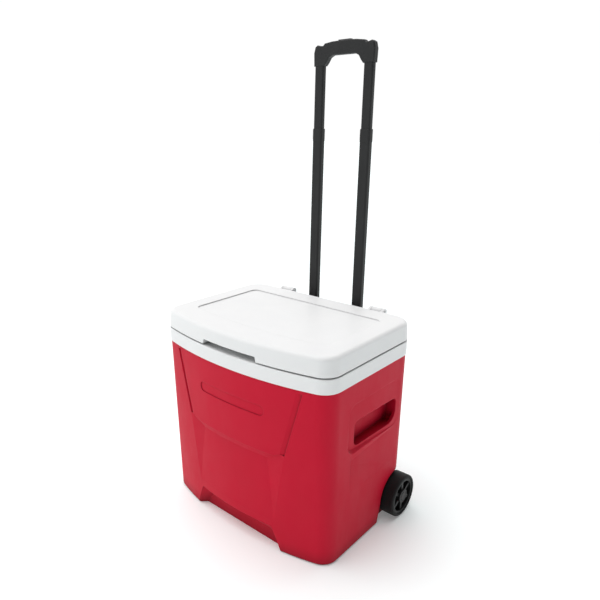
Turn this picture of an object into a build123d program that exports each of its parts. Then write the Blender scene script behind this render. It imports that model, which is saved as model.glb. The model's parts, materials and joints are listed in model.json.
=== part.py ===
from build123d import *
import math
import os

# Wheeled hard cooler with a hinged lid and a two-stage telescoping pull handle.
# Millimetres. +X is the user's right when facing the front, +Y points to the back, +Z is up.
# The origin is the middle of the flat underside. The lid is shut and the handle pulled out.

# ---------------------------------------------------------------- tub
body_width = 408.0  # across the rim
body_depth = 302.0  # crown of the bowed front to the back, at the rim
shell_height = 344.0  # where the coloured shell ends
rim_top = 371.0  # top of the pale rim
rim_overhang = 1.2  # the rim stands proud of the shell
front_draft = 8.5  # the front leans in by this much at the floor
front_bow_top = 30.0  # how far the front corners stand back from the crown
front_bow_floor = 36.0
front_corner = 35.0
back_corner = 40.0
shell_wall = 3.0
liner_wall = 2.5
insulation = 20.0  # foam between shell and liner, at the rim
liner_floor = 37.0  # underside of the liner
liner_taper = 9.0  # the liner leans in by this much at its floor
liner_toe = 8.0  # extra lean of the liner's front, over the toe recess
base_round = 5.0

# ---------------------------------------------------------------- front of the tub
toe_half_top = 92.0
toe_half_floor = 120.0
toe_height = 50.0
toe_inner_height = 26.0
toe_inner_y = -117.0
toe_lean = 16.0  # depth over which the recess closes in
shield_half_top = 154.0
shield_top = 337.0
shield_half_low = 121.0
shield_low = 213.0
shield_foot_half = 98.0
shield_foot = 203.0
ledge_depth = 5.5
ledge_slope = 12.0  # height of the sloping underside of the shield
ledge_end = 66.0  # height where the wall below is back on the outline
ledge_end_half = 106.0
groove_depth = 2.6
groove_outside = 2.0
groove_inside = 12.0
plate_half = 80.0  # blank name plate recess
plate_height = 20.0
plate_z = 284.0
plate_depth = 1.2

# ---------------------------------------------------------------- side grips
grip_y = 31.0  # centre of each side grip, behind the middle
grip_half = 67.0
grip_low = 215.0
grip_high = 264.0
grip_reach = 23.0  # how deep the fingers go
grip_hook = 16.0  # room for the fingertips above the opening
grip_skin = 8.0  # how far in the room for the fingertips starts
grip_corner = 11.0
grip_rear_corner = 24.0
dish_front = 28.0  # the dish reaches this far past the opening
dish_back = 12.0
dish_above = 41.0
dish_depth = 6.5
lip_height = 10.0  # rim of the dish under the opening
lip_slope = 18.0
lip_depth = 5.5  # the wall under the lip stands back this far
lip_end = 128.0

# ---------------------------------------------------------------- wheels
wheel_radius = 43.5
wheel_width = 32.0
wheel_outer_x = 225.0
wheel_y = 118.0
wheel_gap = 8.5  # between tyre and wheel arch
wheel_side_gap = 4.5  # between wheel and the arch's inner wall
tyre_thickness = 7.0
tyre_round = 4.0
rim_thickness = 4.5
barrel_radius = 14.0
cap_radius = 10.0
spokes = 6
spoke_thickness = 6.0
spoke_inset = 4.0
axle_radius = 5.0
axle_play = 0.05
boss_radius = 11.0
boss_length = 16.0
boss_bottom = 3.0

# ---------------------------------------------------------------- lid
seam = 2.4
seam_round = 1.4  # rounded edges on both sides of the seam
lid_rise = 36.6  # lid top above the rim
lid_draft = 3.0
lid_round = 8.0
lid_wall = 3.0
land_inset = 10.0  # pale land under the lid that rests on the rim
rest_gap = 0.3
plug_height = 13.0
plug_gap = 4.0
panel_half = 161.0
panel_back = 98.0
panel_front = -92.0
panel_bow = 16.0
panel_corner = 12.0
panel_depth = 2.0
notch_half_low = 72.0
notch_half_top = 63.5
notch_height = 12.0
notch_reach = 26.0

# ---------------------------------------------------------------- hinges
hinge_x = 115.0
hinge_offset = 7.0  # hinge axis behind the tub's back
hinge_drop = 5.6  # hinge axis below the lid's top
knuckle_radius = 7.5
hinge_pin_radius = 2.5
hinge_play = 0.05
knuckle_half = 11.0
ear_width = 5.5
ear_gap = 0.4
bracket_plate = 3.0
bracket_arm = 5.0

# ---------------------------------------------------------------- handle
tube_x = 56.0
tube_offset = 25.0  # tube centre behind the tub's back
upper_tube_width = 20.2
upper_tube_depth = 11.6
tube_wall = 0.7
tube_corner = 3.0
tube_play = 0.3  # between one tube and the next, each side
housing_half = 76.0
housing_depth = 39.0
housing_wall = 3.0
housing_gap = 1.0  # between the housing and the rim and lid
housing_low = 12.0
housing_top = 384.0
panel_half_width = 24.0  # shallow panels pressed into the housing's back
panel_pressed = 1.5
sleeve_rise = 4.0  # sleeves stand above the housing
lower_tube_top = 736.0
lower_tube_overlap = 38.0
collar_low = 724.0
collar_top = 748.0
collar_wall = 0.6
upper_overlap = 100.0
shoe_height = 14.0
shoulder_low = 864.0
socket_depth = 20.0
grip_end_z = 902.0
grip_crown_z = 907.0
grip_under_z = 882.0
grip_end_x = 69.0
grip_thick = 14.0
grip_round = 2.5
bar_half = 59.0
bar_height = 4.0
bar_thick = 6.0
bar_play = 2.0
button_half = 14.0
button_thick = 7.6
button_rise = 1.5
button_play = 0.3
button_travel = 4.0
rod_radius = 2.0
spring_radius = 2.4
spring_wire = 0.5
spring_turns = 4

# ---------------------------------------------------------------- screws
screw_radius = 1.8
screw_head_radius = 3.6
screw_head = 1.6
screw_length = 9.0

OUT = "parts"
os.makedirs(OUT, exist_ok=True)

back_y = body_depth / 2
front_y = -body_depth / 2
nose_y = front_y + front_bow_floor + front_corner + 4.0  # behind this the sides are straight
wall_x = body_width / 2
arch_wall_x = wheel_outer_x - wheel_width - wheel_side_gap
lid_low = rim_top + seam
lid_top = rim_top + lid_rise
hinge_y = back_y + hinge_offset
hinge_z = lid_top - hinge_drop
tube_y = back_y + tube_offset
upper_tube = (upper_tube_width, upper_tube_depth)


# ================================================================ helpers
def outline(half, front, back, bow, r_front, r_back):
    """Plan of the tub: bowed front, straight sides and back, rounded corners."""
    side_y = front + bow
    edges = Curve() + [
        ThreePointArc((-half, side_y), (0, front), (half, side_y)),
        Line((half, side_y), (half, back)),
        Line((half, back), (-half, back)),
        Line((-half, back), (-half, side_y)),
    ]
    face = make_face(edges)
    face = fillet(face.vertices().group_by(Axis.Y)[0], r_front)
    corners = face.vertices().filter_by_position(Axis.Y, back - 0.01, back + 0.01)
    return fillet(corners, r_back)


def front_plan(z, inset=0.0):
    """Front edge of the tub at height z: its crown and how far its corners stand back."""
    t = z / rim_top
    return front_y + front_draft * (1 - t) + inset, front_bow_floor + (front_bow_top - front_bow_floor) * t


def tub_section(z, inset=0.0, at=None):
    """The tub's outline at height z, moved in by inset, drawn at height at."""
    front, bow = front_plan(z, inset)
    plan = outline(wall_x - inset, front, back_y - inset, bow, front_corner - inset, back_corner - inset)
    return Pos(0, 0, z if at is None else at) * plan


def leaning_tub(*stations):
    """Solid through the tub's outlines, from (height, inset) pairs."""
    return loft([tub_section(z, inset) for z, inset in stations], ruled=True)


def nose_section(z, inset):
    """The bowed front of the tub's outline, ahead of the straight sides."""
    half = wall_x - inset
    front, bow = front_plan(z, inset)
    edges = Curve() + [
        ThreePointArc((-half, front + bow), (0, front), (half, front + bow)),
        Line((half, front + bow), (half, nose_y)),
        Line((half, nose_y), (-half, nose_y)),
        Line((-half, nose_y), (-half, front + bow)),
    ]
    face = make_face(edges)
    return Pos(0, 0, z) * fillet(face.vertices().group_by(Axis.Y)[0], front_corner - inset)


def tub_solid(z0, z1, inset):
    """Solid inside the tub's outline, its walls moved in by inset."""
    half = wall_x - inset
    nose = loft([nose_section(z0, inset), nose_section(z1, inset)], ruled=True)
    tail = block(-half, half, nose_y, back_y - inset, z0, z1)
    corners = tail.edges().filter_by(Axis.Z).group_by(Axis.Y)[-1]
    return nose + fillet(corners, back_corner - inset)


def front_face(points, y):
    """Face standing across the depth at y, its normal pointing to the back."""
    plane = Plane(origin=(0, y, 0), x_dir=(-1, 0, 0), z_dir=(0, 1, 0))
    return plane * make_face(Polyline(*points, close=True))


def mirrored(points):
    """Half an outline on the right completed with its mirror image."""
    return list(points) + [(-x, z) for x, z in reversed(points)]


def block(x0, x1, y0, y1, z0, z1):
    """Box from its low and high corners."""
    middle = Pos((x0 + x1) / 2, (y0 + y1) / 2, (z0 + z1) / 2)
    return middle * Box(abs(x1 - x0), abs(y1 - y0), abs(z1 - z0))


def slab(z0, z1):
    """Everything between two heights."""
    return block(-body_width, body_width, -body_depth, body_depth, z0, z1)


def rod_x(radius, x0, x1, y, z):
    """Cylinder along X."""
    return Pos((x0 + x1) / 2, y, z) * Rot(0, 90, 0) * Cylinder(radius, abs(x1 - x0))


def rod_y(radius, x, y0, y1, z):
    """Cylinder along Y."""
    return Pos(x, (y0 + y1) / 2, z) * Rot(90, 0, 0) * Cylinder(radius, abs(y1 - y0))


def grown(size, extra):
    """A bar size made larger by extra on every side."""
    return (size[0] + 2 * extra, size[1] + 2 * extra)


def bar(size, x, z0, z1, corner=tube_corner):
    """Upright bar with rounded corners at one tube's place."""
    face = RectangleRounded(size[0], size[1], corner)
    return Pos(x, tube_y, z0) * extrude(face, amount=z1 - z0)


def tube(size, x, z0, z1, wall, corner=tube_corner):
    """Upright rectangular tube."""
    hollow = grown(size, -wall)
    return bar(size, x, z0, z1, corner) - bar(hollow, x, z0 - 1, z1 + 1, max(corner - wall, 0.6))


def on_side(shape, side):
    """A shape drawn on the right, or its mirror image on the left."""
    return shape if side > 0 else mirror(shape, about=Plane.YZ)


def screw(x, y, z):
    """Pan-head screw driven towards the front, its head resting at y."""
    head = rod_y(screw_head_radius, x, y, y + screw_head, z)
    head = fillet(head.edges().sort_by(Axis.Y)[-1], screw_head * 0.6)
    slot = block(x - 2.4, x + 2.4, y + screw_head - 0.7, y + 9, z - 0.5, z + 0.5)
    cross = block(x - 0.5, x + 0.5, y + screw_head - 0.7, y + 9, z - 2.4, z + 2.4)
    return head + rod_y(screw_radius, x, y - screw_length, y, z) - slot - cross


def screw_hole(x, y, z):
    """Room for a screw's shank."""
    return rod_y(screw_radius, x, y - screw_length, y + 1, z)


def save(name, shape):
    """Write one named node."""
    export_step(shape, f"{OUT}/{name}.step")


# ================================================================ recesses of the shell
# grow is 0 for the recess itself, and the wall's thickness for the skin that lines it.
def toe_recess(grow=0.0):
    """Recess along the front's lower edge, its roof and ends sloping in."""
    share = toe_inner_height / toe_height
    outer = mirrored([(toe_half_floor + grow, -10), (toe_half_top + grow, toe_height + grow)])
    inner = mirrored(
        [
            (toe_half_floor - toe_lean + grow, -10),
            (toe_half_top - toe_lean * share + grow, toe_inner_height + grow),
        ]
    )
    inner_y = toe_inner_y + grow
    mouth = extrude(front_face(outer, inner_y - toe_lean - 60), amount=60)
    return mouth + loft([front_face(outer, inner_y - toe_lean), front_face(inner, inner_y)], ruled=True)


def wheel_arch(side, grow=0.0):
    """Arch over one wheel, open to the side, the back and the floor."""
    radius = wheel_radius + wheel_gap + grow
    foot = make_face(
        Polyline(
            (wheel_y - radius - 12, -10),
            (wheel_y - radius, wheel_radius),
            (wheel_y + 120, wheel_radius),
            (wheel_y + 120, -10),
            close=True,
        )
    )
    face = Plane.YZ * (Pos(wheel_y, wheel_radius) * Circle(radius) + foot)
    return on_side(Pos(arch_wall_x - grow, 0, 0) * extrude(face, amount=60), side)


def finger_pocket(side, grow=0.0):
    """Room behind one side grip, higher inside than its mouth."""
    low, high = grip_y - grip_half, grip_y + grip_half
    room = block(
        wall_x - grip_reach - grow,
        wall_x + 12 if grow else wall_x - grip_skin,
        low - grow,
        high + grow,
        grip_low - grow,
        grip_high + grip_hook + grow,
    )
    room = fillet(room.edges().filter_by(Axis.X), 10.0 + grow)
    if not grow:
        mouth = block(wall_x - grip_skin - 1, wall_x + 12, low, high, grip_low, grip_high)
        edges = mouth.edges().filter_by(Axis.X).sort_by(lambda e: e.center().Y - e.center().Z)
        mouth = fillet(edges[-1], grip_rear_corner)
        edges = mouth.edges().filter_by(Axis.X).filter_by(lambda e: e.center().Z > grip_high - 1)
        edges = edges + mouth.edges().filter_by(Axis.X).group_by(Axis.Y)[0]
        room = room + fillet(list(set(edges)), grip_corner)
    return on_side(room, side)


def side_prism(y0, y1, z0, z1, corner, taper):
    """Rounded prism entering from the right, its walls closing in."""
    face = Pos(-(y0 + y1) / 2, (z0 + z1) / 2) * RectangleRounded(y1 - y0, z1 - z0, corner)
    plane = Plane(origin=(wall_x + 1, 0, 0), x_dir=(0, -1, 0), z_dir=(-1, 0, 0))
    return extrude(plane * face, amount=14.0, taper=taper)


def side_floor(depth, y0, y1, z0, z1, grow):
    """Floor of a hollow in the right side: depth deep at its front end, fading out at its back end."""
    face_x = wall_x - rim_overhang - grow
    plan = Polyline((0, y0), (face_x - depth, y0), (face_x, y1), (face_x, y1 + 30), (0, y1 + 30), close=True)
    return Pos(0, 0, z0) * extrude(make_face(plan), amount=z1 - z0)


def side_dish(side, grow=0.0):
    """Shallow dish round the finger opening, deepest at its front end."""
    y0, y1 = grip_y - grip_half - dish_front, grip_y + grip_half + dish_back
    z0, z1 = grip_low - lip_height, grip_high + dish_above
    prism = side_prism(y0 - grow, y1 + grow, z0 - grow, z1 + grow, 22.0, 40.0)
    return on_side(prism - side_floor(dish_depth, y0 - 10, y1, z0 - 20, z1 + 20, grow), side)


def side_undercut(side, grow=0.0):
    """Hollow under the lip of the side grip, fading out downwards and to the back."""
    low = grip_low - lip_height
    y0, y1 = grip_y - grip_half - dish_front / 2, grip_y + grip_half
    prism = block(wall_x - 20, wall_x + 1, y0 - grow, y1 + grow, lip_end - grow, low + grow)
    prism = fillet(prism.edges().filter_by(Axis.X), 10.0 + grow)
    base = grow + rim_overhang
    slope = leaning_tub(
        (lip_end - 10, base), (lip_end, base), (low - lip_slope, base + lip_depth), (low, base), (low + 10, base)
    )
    return on_side(prism - slope - side_floor(lip_depth, y0 - 10, y1, lip_end - 10, low + 10, grow), side)


def shield_edge(x, z):
    """Point on the front wall at x and z."""
    t = z / rim_top
    bow = front_bow_floor + (front_bow_top - front_bow_floor) * t
    crown = front_y + front_draft * (1 - t) + rim_overhang
    return Vector(x, crown + bow * (x / wall_x) ** 2, z)


def ledge_undercut(grow=0.0):
    """Hollow under the shield on the front, fading out downwards and to the sides."""
    points = mirrored(
        [
            (ledge_end_half + grow, ledge_end - grow),
            (shield_half_low + grow, shield_low + grow),
            (shield_foot_half + grow, shield_foot + grow),
        ]
    )
    flat_y = shield_edge(shield_half_low, shield_low).Y + grow
    prism = extrude(front_face(points, front_y - 4), amount=flat_y - (front_y - 4))
    base = grow + rim_overhang
    floor = leaning_tub(
        (ledge_end - 1, base),
        (shield_foot - ledge_slope, base + ledge_depth),
        (shield_low + 1, base),
        (shield_low + 10, base),
    )
    return prism - floor


def shield_groove(side, grow=0.0):
    """Groove along one slanting edge of the shield: steep outside, gentle inside."""
    low = shield_edge(shield_half_low, shield_low)
    high = shield_edge(shield_half_top, shield_top)
    along = (high - low).normalized()
    lean = math.atan(2 * front_bow_top * low.X / wall_x**2)
    inward = Vector(-math.sin(lean), math.cos(lean), 0)
    plane = Plane(origin=low - along * 4, x_dir=inward.cross(along), z_dir=along)
    wedge = Polyline((groove_outside, -1.5), (0, groove_depth), (-groove_inside, -1.5), close=True)
    cut = extrude(plane * make_face(wedge), amount=(high - low).length + 4)
    return on_side(Pos(0, grow, 0) * cut, side)


def name_plate():
    """Shallow blank plate recess on the front."""
    face = Pos(0, plate_z) * RectangleRounded(2 * plate_half, plate_height, plate_height / 2 - 0.5)
    plane = Plane(origin=(0, front_y - 4, 0), x_dir=(-1, 0, 0), z_dir=(0, 1, 0))
    return extrude(plane * face, amount=30.0) - tub_solid(plate_z - 30, plate_z + 30, rim_overhang + plate_depth)


def recesses(grow=0.0):
    """Every hollow in the shell's outside."""
    cuts = [toe_recess(grow), ledge_undercut(grow)]
    for side in (1, -1):
        for make in (wheel_arch, finger_pocket, side_dish, side_undercut, shield_groove):
            cuts.append(make(side, grow))
    return cuts if grow else cuts + [name_plate()]


# ================================================================ places of the fasteners
def mirrored_places(places):
    """The same places on both sides of the middle."""
    return [(side * x, y, z) for x, y, z in places for side in (1, -1)]


tab_z = (shell_height * 0.24, shell_height * 0.86)
tab_x = housing_half + 7.0
tab_thick = 3.0
housing_screws = mirrored_places([(tab_x, back_y - rim_overhang + tab_thick, z) for z in tab_z])
bracket_mid = (shell_height + rim_top) / 2
bracket_screws = mirrored_places(
    [(hinge_x + dx, back_y + bracket_plate, bracket_mid) for dx in (-10.0, 10.0)]
)


# ================================================================ tub
def make_shell(room):
    """Coloured outer shell."""
    solid = tub_solid(0, shell_height, rim_overhang)
    solid = fillet(solid.faces().sort_by(Axis.Z)[0].edges(), base_round)
    for cut in recesses():
        solid = solid - cut
    solid = solid - room
    for side in (1, -1):
        x0 = arch_wall_x - boss_length + boss_bottom
        solid = solid - rod_x(axle_radius, side * x0, side * (arch_wall_x + 20), wheel_y, wheel_radius)
    for place in housing_screws:
        solid = solid - screw_hole(*place)
    return solid


def make_room():
    """Space between the shell and the liner's rim, before the liner is taken away."""
    inset = rim_overhang + shell_wall
    room = tub_solid(shell_wall, rim_top - liner_wall, inset)
    for cut in recesses(shell_wall):
        room = room - cut
    for side in (1, -1):
        boss = rod_x(
            boss_radius, side * (arch_wall_x - boss_length), side * arch_wall_x, wheel_y, wheel_radius
        )
        room = room - boss
    return room


def liner_section(z, inset=0.0, at=None):
    """The liner's outer outline at height z."""
    t = (z - liner_floor) / (rim_top - liner_floor)
    wall = rim_overhang + shell_wall + insulation + inset
    lean = liner_taper * (1 - t)
    front = front_y + wall + lean + liner_toe * (1 - t)
    corner = front_corner - 10.0 - inset
    plan = outline(wall_x - wall - lean, front, back_y - wall - lean, 22.0, corner, corner)
    return Pos(0, 0, z if at is None else at) * plan


def liner_solid(z0, z1, inset=0.0):
    """Solid inside the liner's outline between two heights."""
    return loft([liner_section(z0, inset), liner_section(z1, inset)], ruled=True)


def make_liner(tub):
    """Pale liner with its rim and the skirt that shows round the tub."""
    ledge = tub_solid(rim_top - liner_wall, rim_top, 0)
    ledge = fillet(ledge.faces().sort_by(Axis.Z)[-1].edges(), seam_round)
    skirt = tub_solid(shell_height, rim_top, 0)
    skirt = fillet(skirt.faces().sort_by(Axis.Z)[-1].edges(), seam_round)
    skirt = skirt - tub_solid(shell_height - 1, rim_top + 1, rim_overhang + shell_wall)
    liner = skirt + ledge + tub - liner_solid(liner_floor + liner_wall, rim_top + 1, liner_wall)
    for place in bracket_screws:
        liner = liner - screw_hole(*place)
    return liner


room = make_room()
tub = liner_solid(liner_floor, rim_top)
foam = room - tub
for place in housing_screws + bracket_screws:
    foam = foam - screw_hole(*place)
save("outer_shell", make_shell(room))
save("inner_liner", make_liner(tub))
save("tub_foam", foam)


# ================================================================ lid
def lid_solid(z0, z1, inset):
    """Solid inside the lid's outline, moved in by inset."""
    lean = lid_draft / lid_rise
    low = tub_section(rim_top, inset + lean * (z0 - rim_top), z0)
    high = tub_section(rim_top, inset + lean * (z1 - rim_top), z1)
    return loft([low, high], ruled=True)


def finger_notch(grow=0.0):
    """Notch under the lid's front edge for the fingers."""
    top = rim_top + notch_height
    points = mirrored([(notch_half_low + grow, rim_top - 20), (notch_half_top + grow, top + grow)])
    cut = extrude(front_face(points, front_y - 10), amount=10 + notch_reach + grow)
    return cut


def lid_ears(side):
    """Two ears of one hinge, part of the lid's moulding."""
    ears = []
    for edge in (-1, 1):
        x0 = side * hinge_x + edge * (knuckle_half + ear_gap)
        x1 = x0 + edge * ear_width
        arm = block(x0, x1, back_y - lid_draft - 6, hinge_y, hinge_z - knuckle_radius, hinge_z + 4.0)
        ears.append(rod_x(knuckle_radius, x0, x1, hinge_y, hinge_z) + arm)
    return ears


def make_lid_cover(room):
    """Outer moulding of the lid with the hinge ears."""
    cover = lid_solid(lid_low, lid_top, 0)
    cover = fillet(cover.faces().sort_by(Axis.Z)[-1].edges(), lid_round)
    cover = fillet(cover.faces().sort_by(Axis.Z)[0].edges(), seam_round)
    for side in (1, -1):
        for ear in lid_ears(side):
            cover = cover + ear
    panel = outline(panel_half, panel_front, panel_back, panel_bow, panel_corner, panel_corner)
    cover = cover - Pos(0, 0, lid_top - panel_depth) * extrude(panel, amount=panel_depth + 1)
    cover = cover - finger_notch() - room
    for side in (1, -1):
        reach = knuckle_half + ear_width + 5
        x0, x1 = side * hinge_x - reach, side * hinge_x + reach
        cover = cover - rod_x(hinge_pin_radius + hinge_play, x0, x1, hinge_y, hinge_z)
    return cover


def lid_room():
    """Space inside the lid's cover, before the lid's liner is taken away."""
    room = lid_solid(lid_low, lid_top - lid_wall - panel_depth, lid_wall)
    return room - finger_notch(lid_wall)


def lid_plug(inset=0.0, extra=0.0):
    """The step of the lid that drops into the tub's mouth."""
    low = liner_section(rim_top, liner_wall + plug_gap + 2.0 + inset, rim_top - plug_height + extra)
    high = liner_section(rim_top, liner_wall + plug_gap + inset, rim_top + seam + 1.5)
    return loft([low, high], ruled=True)


def make_lid_liner():
    """Pale underside of the lid: flange, land on the rim and plug."""
    flange = lid_space & slab(lid_low, lid_low + liner_wall)
    land = lid_solid(rim_top + rest_gap, lid_low + liner_wall, land_inset)
    liner = flange + land + lid_plug() - lid_plug(liner_wall, liner_wall)
    hollow = lid_plug(liner_wall, liner_wall)
    top = hollow.faces().sort_by(Axis.Z)[-1]
    liner = liner - extrude(top, amount=8.0)
    return liner - finger_notch(lid_wall)


lid_space = lid_room()
lid_liner = make_lid_liner()
save("lid_cover", make_lid_cover(lid_space))
save("lid_liner", lid_liner)
plug_room = lid_plug(liner_wall, liner_wall)
lid_foam = lid_space - slab(lid_low - 1, lid_low + liner_wall) + plug_room
plug_top = plug_room.faces().sort_by(Axis.Z)[-1]
lid_foam = lid_foam + extrude(plug_top, amount=liner_wall)
save("lid_foam", lid_foam - finger_notch(lid_wall))


# ================================================================ hinges
def make_bracket(side):
    """Bracket on the rim's back with the middle knuckle of one hinge."""
    x = side * hinge_x
    half = knuckle_half + ear_gap + ear_width
    arm_y = hinge_y - knuckle_radius + 1.5
    plate = block(x - half, x + half, back_y, back_y + bracket_plate, shell_height + 3, rim_top - 1)
    plate = fillet(plate.edges().filter_by(Axis.Y), 3.0)
    arm = block(x - knuckle_half, x + knuckle_half, arm_y, arm_y + bracket_arm, shell_height + 8, hinge_z)
    knuckle = rod_x(knuckle_radius, x - knuckle_half, x + knuckle_half, hinge_y, hinge_z)
    bracket = plate + arm + knuckle
    bracket = bracket - rod_x(hinge_pin_radius, x - half - 5, x + half + 5, hinge_y, hinge_z)
    for place in bracket_screws:
        bracket = bracket - screw_hole(*place)
        bracket = bracket - rod_y(screw_head_radius + 0.2, place[0], place[1], place[1] + 20, place[2])
    return bracket


def make_hinge_pin(side):
    """Steel pin through one hinge."""
    x = side * hinge_x
    half = knuckle_half + ear_gap + ear_width + 1.0
    pin = rod_x(hinge_pin_radius, x - half, x + half, hinge_y, hinge_z)
    return chamfer(pin.edges().filter_by(GeomType.CIRCLE), 0.5)


for side, name in ((1, "right"), (-1, "left")):
    save(f"hinge_bracket_{name}", make_bracket(side))
    save(f"hinge_pin_{name}", make_hinge_pin(side))
save("hinge_screws", Compound(children=[screw(*place) for place in bracket_screws]))


# ================================================================ wheels
def make_axle(side):
    """Steel stub axle pressed into the arch wall."""
    x0 = arch_wall_x - boss_length + boss_bottom
    axle = rod_x(axle_radius, x0, wheel_outer_x - 4.5, wheel_y, wheel_radius)
    return on_side(chamfer(axle.edges().filter_by(GeomType.CIRCLE), 0.8), side)


def ring_x(radius, hole, x0, x1):
    """Ring along X on the wheel's axis."""
    return rod_x(radius, x0, x1, wheel_y, wheel_radius) - rod_x(hole, x0 - 1, x1 + 1, wheel_y, wheel_radius)


def make_tyre(side):
    """Tyre with rounded shoulders."""
    rim = wheel_radius - tyre_thickness
    ring = ring_x(wheel_radius, rim, wheel_outer_x - wheel_width, wheel_outer_x)
    tread = ring.edges().filter_by(GeomType.CIRCLE).filter_by(lambda e: e.radius > rim + 1)
    return on_side(fillet(tread, tyre_round), side)


def make_hub(side):
    """Spoked wheel hub with a recess for its cap."""
    rim = wheel_radius - tyre_thickness
    inner, outer = wheel_outer_x - wheel_width, wheel_outer_x
    hub = ring_x(rim, rim - rim_thickness, inner + 1.5, outer - 1.5)
    hub = hub + ring_x(barrel_radius, cap_radius - 3, inner + 0.5, outer - 0.5)
    bridge = rim - rim_thickness - barrel_radius
    for k in range(spokes):
        angle = 360.0 * k / spokes
        spoke = Pos((inner + outer) / 2, 0, barrel_radius + bridge / 2) * Box(
            wheel_width - 2 * spoke_inset, spoke_thickness, bridge + 2.0
        )
        hub = hub + Pos(0, wheel_y, wheel_radius) * Rot(angle, 0, 0) * spoke
    hub = hub + rod_x(barrel_radius - 1, inner + 0.5, outer - 6.5, wheel_y, wheel_radius)
    hub = hub - rod_x(cap_radius, outer - 6.5, outer + 1, wheel_y, wheel_radius)
    hub = hub - rod_x(axle_radius + axle_play, inner - 1, outer, wheel_y, wheel_radius)
    return on_side(hub, side)


def make_cap(side):
    """Cap that closes the hub."""
    x1 = wheel_outer_x - 0.2
    cap = rod_x(cap_radius, x1 - 3.3, x1, wheel_y, wheel_radius)
    cap = fillet(cap.edges().sort_by(Axis.X)[-1], 2.0)
    return on_side(cap + ring_x(cap_radius, cap_radius - 1.5, x1 - 6.3, x1 - 3.3), side)


for side, name in ((1, "right"), (-1, "left")):
    inner = wheel_outer_x - wheel_width
    nut = ring_x(8.0, axle_radius, wheel_outer_x - 6.3, wheel_outer_x - 4.8)
    spacer = ring_x(9.0, axle_radius, arch_wall_x, inner + 0.3)
    save(f"axle_{name}", make_axle(side))
    save(f"axle_nut_{name}", on_side(nut, side))
    save(f"axle_spacer_{name}", on_side(spacer, side))
    save(f"wheel_tyre_{name}", make_tyre(side))
    save(f"wheel_hub_{name}", make_hub(side))
    save(f"wheel_cap_{name}", make_cap(side))


# ================================================================ handle
lower_tube = grown(upper_tube, tube_play + tube_wall)
sleeve = grown(lower_tube, tube_play + tube_wall)
sleeve_low = housing_low + housing_wall
sleeve_top = housing_top + sleeve_rise
lower_tube_low = housing_top - lower_tube_overlap
upper_tube_low = lower_tube_top - upper_overlap
upper_tube_top = shoulder_low + socket_depth


def make_housing():
    """Back cover that carries the two fixed sleeves."""
    y0 = back_y - rim_overhang
    cover = block(-housing_half, housing_half, y0, y0 + housing_depth, housing_low, housing_top)
    cover = fillet(cover.edges().filter_by(Axis.Z).group_by(Axis.Y)[-1], 9.0)
    cover = fillet(cover.faces().sort_by(Axis.Y)[-1].edges(), 3.0)
    cover = cover - block(
        -housing_half + housing_wall,
        housing_half - housing_wall,
        y0 - 1,
        y0 + housing_depth - housing_wall,
        housing_low + housing_wall,
        housing_top - housing_wall,
    )
    for low, high in ((0.06, 0.30), (0.34, 0.66), (0.70, 0.94)):
        z0, z1 = (housing_low + (housing_top - housing_low) * share for share in (low, high))
        face = Pos(0, (z0 + z1) / 2) * RectangleRounded(2 * panel_half_width, z1 - z0, 6.0)
        back = Plane(origin=(0, y0 + housing_depth - panel_pressed, 0), x_dir=(-1, 0, 0), z_dir=(0, 1, 0))
        cover = cover - extrude(back * face, amount=10.0)
    rim = block(-housing_half - 1, housing_half + 1, y0 - 1, back_y + housing_gap, shell_height, housing_top + 1)
    cover = cover - rim
    for side in (1, -1):
        for z in tab_z:
            x0, x1 = side * (housing_half - 1), side * (tab_x + 8)
            cover = cover + block(x0, x1, y0, y0 + tab_thick, z - 9, z + 9)
        cover = cover + bar(grown(sleeve, 2.5), side * tube_x, housing_top - 1, sleeve_top - 0.5, 5.0)
        cover = cover - bar(sleeve, side * tube_x, sleeve_low, sleeve_top + 5, 4.5)
    for place in housing_screws:
        cover = cover - screw_hole(*place)
    return cover


def make_collar(x):
    """Collar round the top of one lower tube, guiding the upper one."""
    size = grown(lower_tube, collar_wall)
    collar = bar(size, x, collar_low, collar_top, 4.5)
    collar = fillet(collar.faces().sort_by(Axis.Z)[-1].edges(), 1.2)
    collar = collar - bar(lower_tube, x, collar_low - 1, lower_tube_top, 3.5)
    return collar - bar(grown(upper_tube, tube_play), x, lower_tube_top - 1, collar_top + 1, 3.0)


def grip_profile():
    """Front view of the grip: two shoulders and a crowned cross bar."""
    half = [
        (0, grip_under_z),
        (26, grip_under_z),
        (34, grip_under_z - 4),
        (39, grip_under_z - 12),
        (44, shoulder_low),
        (grip_end_x - 1, shoulder_low),
        (grip_end_x, grip_end_z - 14),
        (grip_end_x - 3, grip_end_z - 3),
        (grip_end_x - 8, grip_end_z),
        (grip_end_x - 16, grip_end_z - 2),
        (grip_end_x - 21, grip_end_z - 2),
        (grip_end_x - 25, grip_end_z + 2),
        (grip_end_x - 42, grip_crown_z - 0.8),
        (0, grip_crown_z),
    ]
    return half + [(-x, z) for x, z in reversed(half[1:-1])]


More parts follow.
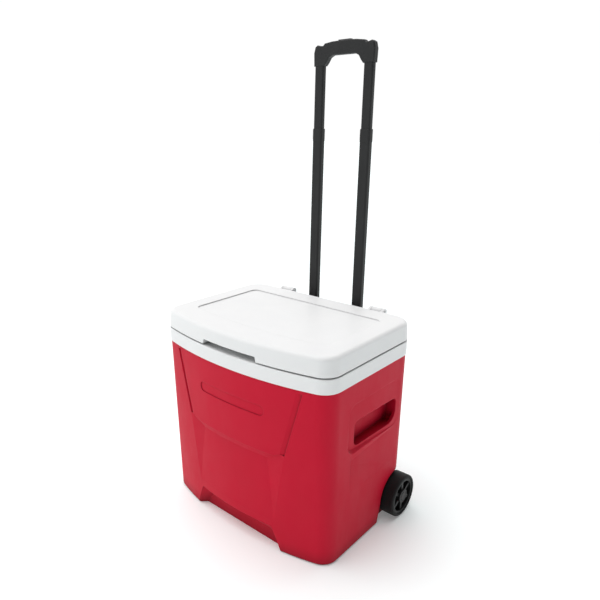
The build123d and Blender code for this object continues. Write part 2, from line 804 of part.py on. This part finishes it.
def make_grip(y0, y1):
    """One half of the grip between two depths, hollow for the release bar."""
    whole = extrude(front_face(grip_profile(), tube_y - grip_thick / 2), amount=grip_thick)
    faces = whole.faces().sort_by(Axis.Y)
    whole = fillet(faces[0].edges() + faces[-1].edges(), grip_round)
    half_bar = bar_thick / 2 + button_play
    cavity = block(
        -bar_half - button_play,
        bar_half + button_play,
        tube_y - half_bar,
        tube_y + half_bar,
        bar_low - bar_play - button_travel - 2,
        bar_low + bar_height + 3.5,
    )
    hole = block(
        -button_half - button_play,
        button_half + button_play,
        tube_y - button_thick / 2 - button_play,
        tube_y + button_thick / 2 + button_play,
        bar_low + bar_height - button_travel - 1,
        grip_crown_z + 5,
    )
    whole = whole - cavity - hole
    for side in (1, -1):
        whole = whole - bar(upper_tube, side * tube_x, shoulder_low - 5, upper_tube_top)
    keep = block(-grip_end_x - 5, grip_end_x + 5, y0, y1, shoulder_low - 5, grip_crown_z + 5)
    return whole & keep


bar_low = grip_under_z + 10.0


def make_release():
    """Release button with the cross bar that pushes both rods."""
    top = grip_crown_z + button_rise
    half_x, half_y = button_half, button_thick / 2
    button = block(-half_x, half_x, tube_y - half_y, tube_y + half_y, bar_low + bar_height, top)
    button = fillet(button.faces().sort_by(Axis.Z)[-1].edges(), 1.2)
    cross = block(-bar_half, bar_half, tube_y - bar_thick / 2, tube_y + bar_thick / 2, bar_low, bar_low + bar_height)
    return button, cross


def make_spring():
    """Return spring under the release bar."""
    height = bar_low - spring_low
    helix = Helix((height - 2 * spring_wire) / spring_turns, height - 2 * spring_wire, spring_radius)
    profile = Plane(origin=helix @ 0, z_dir=helix % 0) * Circle(spring_wire)
    coil = sweep(profile, path=helix)
    return Pos(0, tube_y, spring_low + spring_wire) * coil


spring_low = bar_low - bar_play - button_travel - 2
save("handle_housing", make_housing())
save("housing_screws", Compound(children=[screw(*place) for place in housing_screws]))
for side, name in ((1, "right"), (-1, "left")):
    x = side * tube_x
    save(f"fixed_sleeve_{name}", tube(sleeve, x, sleeve_low, sleeve_top, tube_wall, 4.5))
    save(f"lower_tube_{name}", tube(lower_tube, x, lower_tube_low, lower_tube_top, tube_wall, 3.5))
    save(f"tube_collar_{name}", make_collar(x))
    save(f"upper_tube_{name}", tube(upper_tube, x, upper_tube_low, upper_tube_top, tube_wall))
    inside = grown(upper_tube, -tube_wall)
    plug = bar(inside, x, upper_tube_low - 3, upper_tube_low + shoe_height, tube_corner - tube_wall)
    foot = bar(upper_tube, x, upper_tube_low - 6, upper_tube_low)
    save(f"upper_shoe_{name}", plug + foot)
    rod = Pos(x, tube_y, 0) * extrude(
        Pos(0, 0, upper_tube_low + shoe_height + button_travel + 2) * Circle(rod_radius),
        amount=bar_low - (upper_tube_low + shoe_height + button_travel + 2),
    )
    save(f"release_rod_{name}", rod)
save("grip_front", make_grip(tube_y - grip_thick, tube_y))
save("grip_back", make_grip(tube_y, tube_y + grip_thick))
button, cross = make_release()
save("release_button", button)
save("release_bar", cross)
save("release_spring", make_spring())
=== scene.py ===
import bpy, bmesh, json, math
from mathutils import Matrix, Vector

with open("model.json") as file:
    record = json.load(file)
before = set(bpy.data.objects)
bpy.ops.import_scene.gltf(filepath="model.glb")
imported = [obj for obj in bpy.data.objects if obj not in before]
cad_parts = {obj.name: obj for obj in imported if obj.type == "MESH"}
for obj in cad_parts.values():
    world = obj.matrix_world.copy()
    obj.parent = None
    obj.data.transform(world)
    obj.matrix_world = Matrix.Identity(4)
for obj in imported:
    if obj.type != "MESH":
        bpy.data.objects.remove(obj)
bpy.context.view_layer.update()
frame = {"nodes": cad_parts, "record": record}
nodes = frame["nodes"]

# The photograph's view. Places in metres, angles in degrees, lens and sensor in millimetres.
camera_place = (0.6743, -0.8032, 0.7567)
camera_azimuth = 42.1
camera_elevation = 17.9
camera_sensor = 36.0
camera_lens = 34.43
camera_shift = (0.0628, 0.0158)
camera_sees_to = 60.0

# The floor. Its tint is painted to cancel the red light that the tub throws on it, and it gives off
# some light itself, a painted glow that lifts the shadows on it.
floor_reach = 24.0
floor_colour = (0.885, 0.94, 0.94)
floor_cloud_colour = (0.875, 0.93, 0.932)
floor_specular = 0.1
floor_painted_glow = 0.16

# The light. The surround falls from open to flagged where it both faces flag_side by more than
# flag_facing and stands higher than flag_height, each over the range given.
surround_open = 1.02
surround_flagged = 0.16
flag_side = (0.94, -0.34, 0.0)
flag_facing = (-0.10, 0.45)
flag_height = (0.05, 0.25)
sun_towards = (-0.24, -0.14, 1.0)
sun_strength = 1.6
sun_spread = 55.0
sun_distance = 3.0

plain_white = (1.0, 1.0, 1.0, 1.0)


# ---------------------------------------------------------------- camera
def back_vector(azimuth, elevation):
    """Unit vector from the object towards the camera."""
    a, e = math.radians(azimuth), math.radians(elevation)
    return Vector((math.sin(a) * math.cos(e), -math.cos(a) * math.cos(e), math.sin(e)))


camera = bpy.data.objects.new("camera", bpy.data.cameras.new("camera"))
bpy.context.scene.collection.objects.link(camera)
bpy.context.scene.camera = camera
camera.location = camera_place
towards_camera = back_vector(camera_azimuth, camera_elevation)
camera.rotation_euler = (-towards_camera).to_track_quat("-Z", "Y").to_euler()
camera.data.sensor_width = camera_sensor
camera.data.lens = camera_lens
camera.data.shift_x, camera.data.shift_y = camera_shift
camera.data.clip_end = camera_sees_to


# ---------------------------------------------------------------- material building blocks
class Nodes:
    """A material's node tree with short calls for the nodes used here. Lengths are in metres."""

    def __init__(self, name):
        self.material = bpy.data.materials.new(name)
        self.material.use_nodes = True
        self.tree = self.material.node_tree
        self.shader = self.tree.nodes["Principled BSDF"]
        self.place = self.new("ShaderNodeTexCoord").outputs["Object"]

    def new(self, kind, **values):
        node = self.tree.nodes.new(kind)
        for key, value in values.items():
            if key in node.inputs:
                node.inputs[key].default_value = value
            else:
                setattr(node, key, value)
        return node

    def link(self, a, b):
        self.tree.links.new(a, b)

    def noise(self, size, detail=2.0, roughness=0.5, stretch=None):
        """Noise whose largest features are about size long."""
        node = self.new("ShaderNodeTexNoise", Scale=1.0 / size, Detail=detail, Roughness=roughness)
        place = self.place
        if stretch:
            scale = self.new("ShaderNodeMapping")
            scale.inputs["Scale"].default_value = stretch
            self.link(place, scale.inputs["Vector"])
            place = scale.outputs["Vector"]
        self.link(place, node.inputs["Vector"])
        return node.outputs["Fac"]

    def ramp(self, value, low, high, a=0.0, b=1.0):
        """value from low to high becomes a to b, held outside."""
        node = self.new("ShaderNodeMapRange")
        self.link(value, node.inputs["Value"])
        for key, number in (("From Min", low), ("From Max", high), ("To Min", a), ("To Max", b)):
            node.inputs[key].default_value = number
        return node.outputs["Result"]

    def mix(self, factor, a, b):
        """Colour a where factor is 0 and b where it is 1."""
        node = self.new("ShaderNodeMix", data_type="RGBA")
        self.link(factor, node.inputs["Factor"])
        for key, colour in ((6, a), (7, b)):
            if isinstance(colour, tuple):
                node.inputs[key].default_value = (*colour, 1.0)
            else:
                self.link(colour, node.inputs[key])
        return node.outputs[2]

    def arithmetic(self, operation, a, b):
        """Each of a and b is a number or a node's output."""
        node = self.new("ShaderNodeMath", operation=operation)
        for k, value in enumerate((a, b)):
            if isinstance(value, (int, float)):
                node.inputs[k].default_value = value
            else:
                self.link(value, node.inputs[k])
        return node.outputs[0]

    def times(self, a, b):
        return self.arithmetic("MULTIPLY", a, b)

    def add(self, a, b):
        return self.arithmetic("ADD", a, b)

    def soft_edges(self, radius):
        """Normals rounded over every edge by radius, and how close an edge is, 0 to 1."""
        bevel = self.new("ShaderNodeBevel", samples=6, Radius=radius)
        geometry = self.new("ShaderNodeNewGeometry")
        dot = self.new("ShaderNodeVectorMath", operation="DOT_PRODUCT")
        self.link(bevel.outputs[0], dot.inputs[0])
        self.link(geometry.outputs["Normal"], dot.inputs[1])
        on_flat, on_edge = 0.995, 0.86
        return bevel.outputs[0], self.ramp(dot.outputs["Value"], on_flat, on_edge)

    def painted_shade_mask(self, reach, low, high):
        """Mask for painted shade, by ambient occlusion: 0 on open faces to 1 deep in each seam and
        pocket narrower than reach.
        """
        node = self.new("ShaderNodeAmbientOcclusion", samples=8, Distance=reach)
        return self.ramp(node.outputs["AO"], high, low)

    def bump(self, height, distance, strength, normal=None):
        node = self.new("ShaderNodeBump", Strength=strength, Distance=distance)
        self.link(height, node.inputs["Height"])
        if normal is not None:
            self.link(normal, node.inputs["Normal"])
        return node.outputs["Normal"]


def moulded_plastic(
    name, colour, deep, worn, rough, grain=0.0007, grain_depth=0.00004, edge=0.0012, specular=0.5,
    painted_seam_shade=0.0, reach=0.03
):
    """Moulded plastic: cloudy colour, spark-eroded grain, flow waves, rubbed edges.

    Its last two arguments paint shade into the colour of each seam and pocket narrower than reach, on
    top of the real shadow that the light gives them.
    """
    cloud_size, speck_size, rub_size, smear_size, wave_size = 0.09, 0.0025, 0.006, 0.03, 0.02
    speck_share, wear_share, painted_shade_level = 0.25, 0.5, 0.22
    seam_full, seam_none = 0.10, 0.85
    m = Nodes(name)
    clouds = m.ramp(m.noise(cloud_size, 4.0, 0.6), 0.3, 0.7)
    specks = m.ramp(m.noise(speck_size, 3.0, 0.7), 0.62, 0.8)
    rubbed = m.ramp(m.noise(rub_size, 4.0, 0.7), 0.42, 0.62)
    normal, near_edge = m.soft_edges(edge)
    wear = m.times(near_edge, rubbed)
    base = m.mix(clouds, colour, deep)
    base = m.mix(m.times(specks, speck_share), base, worn)
    base = m.mix(m.times(wear, wear_share), base, worn)
    # Painted shade: the colour is made darker by ambient occlusion in each seam and pocket, on top of
    # their real shadow.
    if painted_seam_shade:
        painted_shade_colour = tuple(c * painted_shade_level for c in deep)
        base = m.mix(m.times(m.painted_shade_mask(reach, seam_full, seam_none), painted_seam_shade), base, painted_shade_colour)
    m.link(base, m.shader.inputs["Base Color"])
    upright_smears = m.noise(smear_size, 5.0, 0.65, (1.0, 1.0, 0.35))
    smears = m.ramp(upright_smears, 0.35, 0.7, rough - 0.05, rough + 0.07)
    m.link(m.add(smears, m.times(wear, 0.08)), m.shader.inputs["Roughness"])
    waves = m.bump(m.noise(wave_size, 1.0, 0.4), 0.0004, 0.10, normal)
    fine = m.bump(m.noise(grain, 2.0, 0.6), grain_depth, 0.55, waves)
    m.link(fine, m.shader.inputs["Normal"])
    m.shader.inputs["Specular IOR Level"].default_value = specular
    return m.material


def coated_steel(name, colour, deep, bare, rough):
    """Powder-coated steel: pebbled coat, light rubbing lines along the slide, bare metal on edges."""
    m = Nodes(name)
    normal, near_edge = m.soft_edges(0.0008)
    rubs = m.ramp(m.noise(0.002, 3.0, 0.6, (1.0, 1.0, 0.03)), 0.6, 0.75)
    chips = m.times(near_edge, m.ramp(m.noise(0.004, 5.0, 0.75), 0.6, 0.68))
    base = m.mix(m.ramp(m.noise(0.05, 3.0), 0.35, 0.65), colour, deep)
    base = m.mix(m.times(chips, 0.55), base, bare)
    m.link(base, m.shader.inputs["Base Color"])
    m.link(m.times(chips, 0.8), m.shader.inputs["Metallic"])
    cloudy = m.ramp(m.noise(0.02, 4.0), 0.3, 0.7, rough, rough + 0.08)
    m.link(m.add(m.times(rubs, -0.08), cloudy), m.shader.inputs["Roughness"])
    pebble = m.bump(m.noise(0.0008, 2.0, 0.5), 0.00003, 0.5, normal)
    m.link(pebble, m.shader.inputs["Normal"])
    m.shader.inputs["Specular IOR Level"].default_value = 0.3
    return m.material


def bright_steel(name, colour, deep, rough):
    """Drawn or turned steel: fine lines, faint stains."""
    m = Nodes(name)
    normal, _ = m.soft_edges(0.0003)
    base = m.mix(m.ramp(m.noise(0.01, 4.0, 0.6), 0.35, 0.7), colour, deep)
    m.link(base, m.shader.inputs["Base Color"])
    lines = m.noise(0.0009, 3.0, 0.6, (1.0, 1.0, 0.06))
    m.link(m.ramp(lines, 0.3, 0.7, rough - 0.07, rough + 0.1), m.shader.inputs["Roughness"])
    m.link(m.bump(lines, 0.00002, 0.4, normal), m.shader.inputs["Normal"])
    m.shader.inputs["Metallic"].default_value = 1.0
    return m.material


def cast_foam(name, colour, deep):
    """Foamed-in-place insulation, closed in between the outer walls and the liners."""
    cell_size = 0.0012
    m = Nodes(name)
    cells = m.new("ShaderNodeTexVoronoi", Scale=1.0 / cell_size)
    m.link(m.place, cells.inputs["Vector"])
    m.link(m.mix(m.ramp(m.noise(0.03, 4.0), 0.3, 0.7), colour, deep), m.shader.inputs["Base Color"])
    m.link(m.bump(cells.outputs["Distance"], 0.0003, 0.6), m.shader.inputs["Normal"])
    m.link(m.ramp(m.noise(0.01), 0.3, 0.7, 0.75, 0.95), m.shader.inputs["Roughness"])
    return m.material


materials = {
    # The red and white shells carry painted shade in each seam and pocket.
    "shell_red": moulded_plastic(
        "red_shell", (0.54, 0.003, 0.026), (0.515, 0.003, 0.024), (0.60, 0.02, 0.05), 0.50,
        edge=0.0026, specular=0.13, painted_seam_shade=0.95, reach=0.045
    ),
    "liner_white": moulded_plastic(
        "white_shell", (0.80, 0.80, 0.80), (0.78, 0.78, 0.785), (0.83, 0.83, 0.83), 0.42,
        edge=0.0018, specular=0.3, painted_seam_shade=0.4, reach=0.02
    ),
    "foam": cast_foam("insulation", (0.80, 0.72, 0.50), (0.70, 0.62, 0.40)),
    "housing_black": moulded_plastic(
        "black_housing", (0.016, 0.016, 0.0165), (0.012, 0.012, 0.0125), (0.045, 0.045, 0.045),
        0.48,
        grain=0.0009, grain_depth=0.00006, specular=0.3
    ),
    "grip_black": moulded_plastic(
        "black_grip", (0.018, 0.018, 0.0185), (0.014, 0.014, 0.0145), (0.05, 0.05, 0.05), 0.50,
        grain=0.0008, grain_depth=0.00007, specular=0.3
    ),
    "button_grey": moulded_plastic(
        "grey_button", (0.06, 0.06, 0.062), (0.05, 0.05, 0.052), (0.12, 0.12, 0.12), 0.42,
        specular=0.3
    ),
    "tube_black": coated_steel(
        "black_tube", (0.013, 0.013, 0.0135), (0.010, 0.010, 0.0105), (0.30, 0.30, 0.31), 0.40
    ),
    "sleeve_steel": bright_steel("sleeve_steel", (0.55, 0.55, 0.56), (0.42, 0.42, 0.43), 0.35),
    "fastener_steel": bright_steel("fastener_steel", (0.62, 0.62, 0.64), (0.50, 0.50, 0.52), 0.28),
    "spacer_plastic": moulded_plastic(
        "black_spacer", (0.05, 0.05, 0.052), (0.04, 0.04, 0.042), (0.09, 0.09, 0.09), 0.5
    ),
    "tyre_black": moulded_plastic(
        "tyre", (0.010, 0.010, 0.0103), (0.007, 0.007, 0.0073), (0.035, 0.034, 0.032), 0.62,
        grain=0.0012, grain_depth=0.0001, specular=0.2
    ),
    "hub_black": moulded_plastic(
        "hub", (0.013, 0.013, 0.0135), (0.010, 0.010, 0.0104), (0.045, 0.045, 0.045), 0.46,
        specular=0.25
    ),
}
slot_of = {s["node"]: s["material_slot"] for s in frame["record"]["subparts"]}


def dress(obj, material):
    """One material over the whole object."""
    obj.data.materials.clear()
    obj.data.materials.append(material)


for name, obj in nodes.items():
    dress(obj, materials[slot_of[name]])


# ---------------------------------------------------------------- floor and light
def make_floor():
    """Wide pale studio floor with a painted glow, a faint light of its own that lifts the shadows on
    it.
    """
    mesh = bpy.data.meshes.new("floor")
    b = bmesh.new()
    reach = floor_reach
    corners = ((-reach, -reach), (reach, -reach), (reach, reach), (-reach, reach))
    b.faces.new([b.verts.new((x, y, 0.0)) for x, y in corners])
    b.to_mesh(mesh)
    b.free()
    floor = bpy.data.objects.new("floor", mesh)
    bpy.context.scene.collection.objects.link(floor)
    m = Nodes("paper")
    clouds = m.ramp(m.noise(0.4, 3.0), 0.3, 0.7)
    m.link(m.mix(clouds, floor_colour, floor_cloud_colour), m.shader.inputs["Base Color"])
    m.link(m.ramp(m.noise(0.05, 3.0), 0.3, 0.7, 0.75, 0.85), m.shader.inputs["Roughness"])
    m.link(m.bump(m.noise(0.002, 3.0), 0.0002, 0.1), m.shader.inputs["Normal"])
    m.shader.inputs["Specular IOR Level"].default_value = floor_specular
    # Painted light: the floor glows faintly though it is no lamp.
    m.shader.inputs["Emission Color"].default_value = plain_white
    m.shader.inputs["Emission Strength"].default_value = floor_painted_glow
    dress(floor, m.material)


def soft_sun(name, towards_light, strength, spread):
    """Even light from one side of the studio, its shadows softened by spread degrees."""
    light = bpy.data.lights.new(name, "SUN")
    light.energy = strength
    light.angle = math.radians(spread)
    obj = bpy.data.objects.new(name, light)
    obj.location = Vector(towards_light) * sun_distance
    obj.rotation_euler = Vector(towards_light).to_track_quat("Z", "Y").to_euler()
    bpy.context.scene.collection.objects.link(obj)


def light_studio():
    """White surround with one grey patch high on the right, in sight from the back left."""
    world = bpy.data.worlds.new("studio")
    bpy.context.scene.world = world
    world.use_nodes = True
    tree = world.node_tree

    def new(kind, **values):
        node = tree.nodes.new(kind)
        for key, value in values.items():
            setattr(node, key, value)
        return node

    def span(value, low, high, a, b):
        node = new("ShaderNodeMapRange", interpolation_type="SMOOTHSTEP")
        tree.links.new(value, node.inputs["Value"])
        for key, number in (("From Min", low), ("From Max", high), ("To Min", a), ("To Max", b)):
            node.inputs[key].default_value = number
        return node.outputs["Result"]

    place = new("ShaderNodeTexCoord").outputs["Generated"]
    facing = new("ShaderNodeVectorMath", operation="DOT_PRODUCT")
    facing.inputs[1].default_value = flag_side
    tree.links.new(place, facing.inputs[0])
    split = new("ShaderNodeSeparateXYZ")
    tree.links.new(place, split.inputs[0])
    flag = new("ShaderNodeMath", operation="MULTIPLY")
    tree.links.new(span(facing.outputs["Value"], *flag_facing, 0.0, 1.0), flag.inputs[0])
    tree.links.new(span(split.outputs["Z"], *flag_height, 0.0, 1.0), flag.inputs[1])
    strength = span(flag.outputs[0], 0.0, 1.0, surround_open, surround_flagged)
    tree.links.new(strength, tree.nodes["Background"].inputs["Strength"])
    tree.nodes["Background"].inputs["Color"].default_value = plain_white


make_floor()
light_studio()
soft_sun("softbox", sun_towards, sun_strength, sun_spread)
bpy.context.scene.view_settings.view_transform = "Standard"
